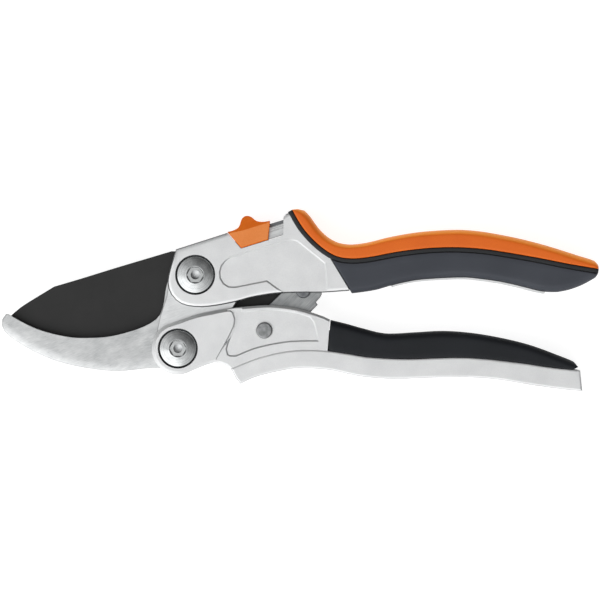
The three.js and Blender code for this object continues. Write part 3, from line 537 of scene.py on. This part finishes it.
def finish_node(node, look, width, *others):
    """Gives a CAD node its material, and eases its edges with a bevel of the given width.

    others are pairs of a look and a test: faces whose centre and normal pass the test take it."""
    piece = frame["nodes"][node]
    piece.data.materials.clear()
    piece.data.materials.append(look)
    for number, (other_look, belongs) in enumerate(others, start=1):
        piece.data.materials.append(other_look)
        for face in piece.data.polygons:
            if belongs(face.center, face.normal):
                face.material_index = number
    piece.data.polygons.foreach_set("use_smooth", [True] * len(piece.data.polygons))
    weld = piece.modifiers.new("weld", "WELD")
    weld.merge_threshold = SAME_POINT
    flat = piece.modifiers.new("flat", "DECIMATE")
    flat.decimate_type = "DISSOLVE"
    flat.angle_limit = math.radians(0.6)
    flat.delimit = {"MATERIAL"}
    bevel = piece.modifiers.new("bevel", "BEVEL")
    bevel.width = width
    bevel.segments = 2
    bevel.limit_method = "ANGLE"
    bevel.angle_limit = math.radians(28)
    normals = piece.modifiers.new("normals", "WEIGHTED_NORMAL")
    normals.weight = 100
    return piece


# The Z of a face's normal is past FLAT on a flat face, and between the STEEP values on a steep one.
FLAT = 0.9
STEEP = 0.1, 0.6


def is_steep(normal):
    return STEEP[0] < abs(normal.z) < STEEP[1]


def inside_cheeks(place, normal):
    return abs(normal.z) > FLAT and abs(place.z - MIDDLE) < INNER_REACH


def steep_or_inside(place, normal):
    return is_steep(normal) or inside_cheeks(place, normal)


def steep_below(place, normal):
    """The steep faces that look down the picture, along the lower handle's rim."""
    return is_steep(normal) and normal.y < -0.3


def on_ledge(place, normal):
    return normal.z > FLAT and place.z < LEDGE_LEVEL


def on_neck(place, normal):
    return normal.z > FLAT and place.z > NECK_LEVEL


def on_grind(place, normal):
    """The blade's ground slope, on its back."""
    return -0.95 < normal.z < -0.25


def on_flat_side(place, normal):
    return abs(normal.z) > 0.95 and abs(place.z - MIDDLE) > BUTTON_REACH


# ---- new pieces ---------------------------------------------------------------------------------

# Spacing of a grip's rings, and the widest share of its width that each corner takes.
RING_SPACING = 1.6 * MM
OUTER_SHARE = 0.75
SEAM_SHARE = 0.2


def band(name, node, corners, rounding, ends):
    """A lofted grip in a CAD node's place: crisp at its seam and rounded along its outer side.

    rounding is the outer corner's reach across and down, and the seam corner's radius; ends are the
    radii that its near and far ends are eased by."""
    low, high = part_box(node)
    seam_side, outer_side = long_sides(node, GRIP_LEVEL, corners)
    outer_across, outer_down, seam_radius = rounding
    length = np.linalg.norm(np.diff(seam_side, axis=0), axis=1).sum()
    eased = [1 - math.cos(math.radians(a)) for a in range(0, 90, 15)]
    along = np.concatenate([
        [ends[0] * d for d in eased],
        np.arange(ends[0], length - ends[1], RING_SPACING),
        [length - ends[1] * d for d in reversed(eased)],
    ])
    a_side, b_side = (resample(side, along / length) for side in (seam_side, outer_side))
    rings = []
    for at, a, b in zip(along, a_side, b_side):
        width = np.linalg.norm(b - a)
        across = (b - a) / width
        half = (high.z - low.z) / 2
        for radius, distance in zip(ends, (at, length - at)):
            if distance < radius:
                half -= radius - math.sqrt(radius**2 - (radius - distance) ** 2)
        reach = min(outer_across, OUTER_SHARE * width)
        fall = min(outer_down, half)
        seam = min(seam_radius, SEAM_SHARE * width)
        front = [(seam * (1 - math.cos(t)), half - seam * (1 - math.sin(t)))
                 for t in np.linspace(0, math.pi / 2, 4)]
        front += [(seam + (width - seam - reach) * f, half) for f in (0.25, 0.5, 0.75)]
        front += [(width - reach * (1 - math.sin(t)), half - fall * (1 - math.cos(t)))
                  for t in np.linspace(0, math.pi / 2, 9)]
        section = front + [(u, -w) for u, w in reversed(front)]
        middle = (low.z + high.z) / 2
        rings.append([(*(a + across * u), middle + w) for u, w in section])
    return skin(name, rings)


def pivot(name, body):
    """A bolt with a turned head and a dark socket, and a black ring round its head that is painted shade:
    a dark piece put in the shadowed gap.
    """
    low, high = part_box(name)
    centre = (low + high) / 2

    def in_drilled_hole(place, normal):
        return high.z - HOLE_BOTTOM < place.z < high.z - HOLE_TOP

    finish_node(name, turned_steel(name + "_steel", centre), 0.08 * MM, (SOCKET_STEEL, in_drilled_hole))
    radius = (high.x - low.x) / 2 + SHADE_RING_WIDTH / 2
    level = high.z - SHADE_RING_DROP - SHADE_RING_HEIGHT / 2
    rim = [(SHADE_RING_WIDTH / 2 * math.cos(a), SHADE_RING_HEIGHT / 2 * math.sin(a)) for a in turns(WIRE_STEPS)]
    rings = []
    for a in turns(SHADE_RING_STEPS):
        out = Vector((math.cos(a), math.sin(a), 0))
        foot = Vector((centre.x, centre.y, level))
        rings.append([foot + out * (radius + u) + Vector((0, 0, w)) for u, w in rim])
    # The black ring is painted shade in the gap round the head.
    mesh = skin(name + "_seal", rings, closed=True)
    link_mesh(name + "_seal", mesh, body, BLACK, "black_rubber")


def return_spring():
    """A torsion spring coiled on the rivet, between the handle's channel and the link's tab."""
    low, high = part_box("return_spring")
    axis = next(Vector(j["pos_m"]) for j in frame["joints"] if j["name"] == "link_hinge")
    tail = sum(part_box("link_tail_pin"), Vector()) / 2
    link_angle = math.atan2(tail.y - axis.y, tail.x - axis.x)
    bottom, top = low.z + WIRE_RADIUS, high.z - WIRE_RADIUS
    start = link_angle - math.pi / 2
    sweep = -COIL_TURNS * 2 * math.pi
    along = Vector((math.cos(link_angle), math.sin(link_angle), 0))
    side = Vector((-along.y, along.x, 0))
    level = Vector((axis.x, axis.y, 0))
    upper_end = level + along * UPPER_LEG[0] - side * UPPER_LEG[1] + Vector((0, 0, top))
    lower_end = level + Vector((*LOWER_LEG, bottom))
    coil = []
    for f in np.linspace(0, 1, COIL_POINTS):
        a = start + sweep * f
        height = top + (bottom - top) * f
        coil.append(level + Vector((COIL_RADIUS * math.cos(a), COIL_RADIUS * math.sin(a), height)))
    first_leg = [upper_end.lerp(coil[0], f) for f in (0, 0.3, 0.6, 0.85)]
    last_leg = [coil[-1].lerp(lower_end, f) for f in (0.15, 0.4, 0.7, 1)]
    path = first_leg + coil + last_leg
    rings = []
    for i, point in enumerate(path):
        way = (path[min(i + 1, len(path) - 1)] - path[max(i - 1, 0)]).normalized()
        out = way.cross(Vector((0, 0, 1))).normalized()
        up = out.cross(way)
        outward = [out * math.cos(a) + up * math.sin(a) for a in turns(WIRE_STEPS)]
        rings.append([point + WIRE_RADIUS * o for o in outward])
    mesh = skin("torsion_spring", rings)
    piece = link_mesh("torsion_spring", mesh, None, SPRING, "spring_steel", "return_spring")
    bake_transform(piece)


# ---- the whole scene ----------------------------------------------------------------------------

make_camera()
make_floor()
make_world()
make_light()

for node, look, width, *others in (
    # The upper casting's steep edge faces and inner faces take painted shade.
    ("upper_handle_casting", ALUMINIUM, 0.22 * MM, (CAST_SHADE, steep_or_inside)),
    # The lower casting's inner faces take painted shade, and its rim's steep downward faces a lighter
    # painted shade.
    ("lower_handle_casting", ALUMINIUM, 0.22 * MM, (CAST_SHADE, inside_cheeks), (RIM_SHADE, steep_below)),
    # The rack's recessed ledge takes painted shade.
    ("lock_rack", RACK_STEEL, 0.06 * MM, (PIN_STEEL_AND_LEDGE_SHADE, on_ledge)),
    ("blade", COATED, 0.12 * MM, (GROUND_STEEL, on_grind)),
    # The lock button's flat front and back take the painted highlight.
    ("lock_button", ORANGE_SLOPE, 0.2 * MM, (ORANGE_PAINTED_LIT_FACE, on_flat_side)),
    ("hook_jaw", HOOK_STEEL, 0.2 * MM, (NECK_STEEL, on_neck)),
    ("hook_dowel", DARK_STEEL, 0.1 * MM),
    ("main_pivot_nut", DARK_STEEL, 0.12 * MM),
    ("lower_pivot_nut", DARK_STEEL, 0.12 * MM),
    ("main_pivot_spacer", SPRING, 0.1 * MM),
    ("lower_pivot_spacer", SPRING, 0.1 * MM),
    ("blade_bush", BRONZE, 0.1 * MM),
    ("link_rivet", DARK_STEEL, 0.12 * MM),
    ("rivet_sleeve", BRONZE, 0.1 * MM),
    # The link plates take the darker steel that is partly painted shade.
    ("link_front_plate", LINK_STEEL, 0.1 * MM),
    ("link_back_plate", LINK_STEEL, 0.1 * MM),
    ("link_tail_pin", PIN_STEEL_AND_LEDGE_SHADE, 0.1 * MM),
    ("lock_tongue", LINK_STEEL, 0.1 * MM),
    ("lock_pin", DARK_STEEL, 0.1 * MM),
):
    finish_node(node, look, width, *others)

pivot("main_pivot_bolt", "upper_handle")
pivot("lower_pivot_bolt", "lower_handle")
for name, node, body, look, slot, corners, rounding, ends in (
    ("orange_cover", "orange_grip_cover", "upper_handle", ORANGE, "orange_plastic",
     ((0, 0.98), (0.998, 0), (0.02, 1), (0.995, 0.06)), (2.2, 3.0, 0.35), (0.8, 1.6)),
    ("seal_strip", "grip_seal_strip", "upper_handle", BLACK, "black_rubber",
     ((0, 0.98), (0.998, 0), (0.015, 1), (1, 0.06)), (0.7, 0.7, 0.7), (0.5, 0.8)),
    ("upper_grip_rubber", "upper_grip", "upper_handle", SLATE, "slate_rubber",
     ((0, 0.81), (0.998, 0.46), (0.07, 0), (1, 0.4)), (2.6, 3.6, 0.35), (0.35, 1.0)),
    ("lower_grip_rubber", "lower_grip", "lower_handle", NAVY, "navy_rubber",
     ((0, 0.4), (0.998, 0.0), (0.01, 1), (0.995, 0.06)), (2.6, 3.6, 0.35), (0.35, 1.0)),
):
    mesh = band(name, node, corners, [r * MM for r in rounding], [e * MM for e in ends])
    link_mesh(name, mesh, body, look, slot, node)

return_spring()
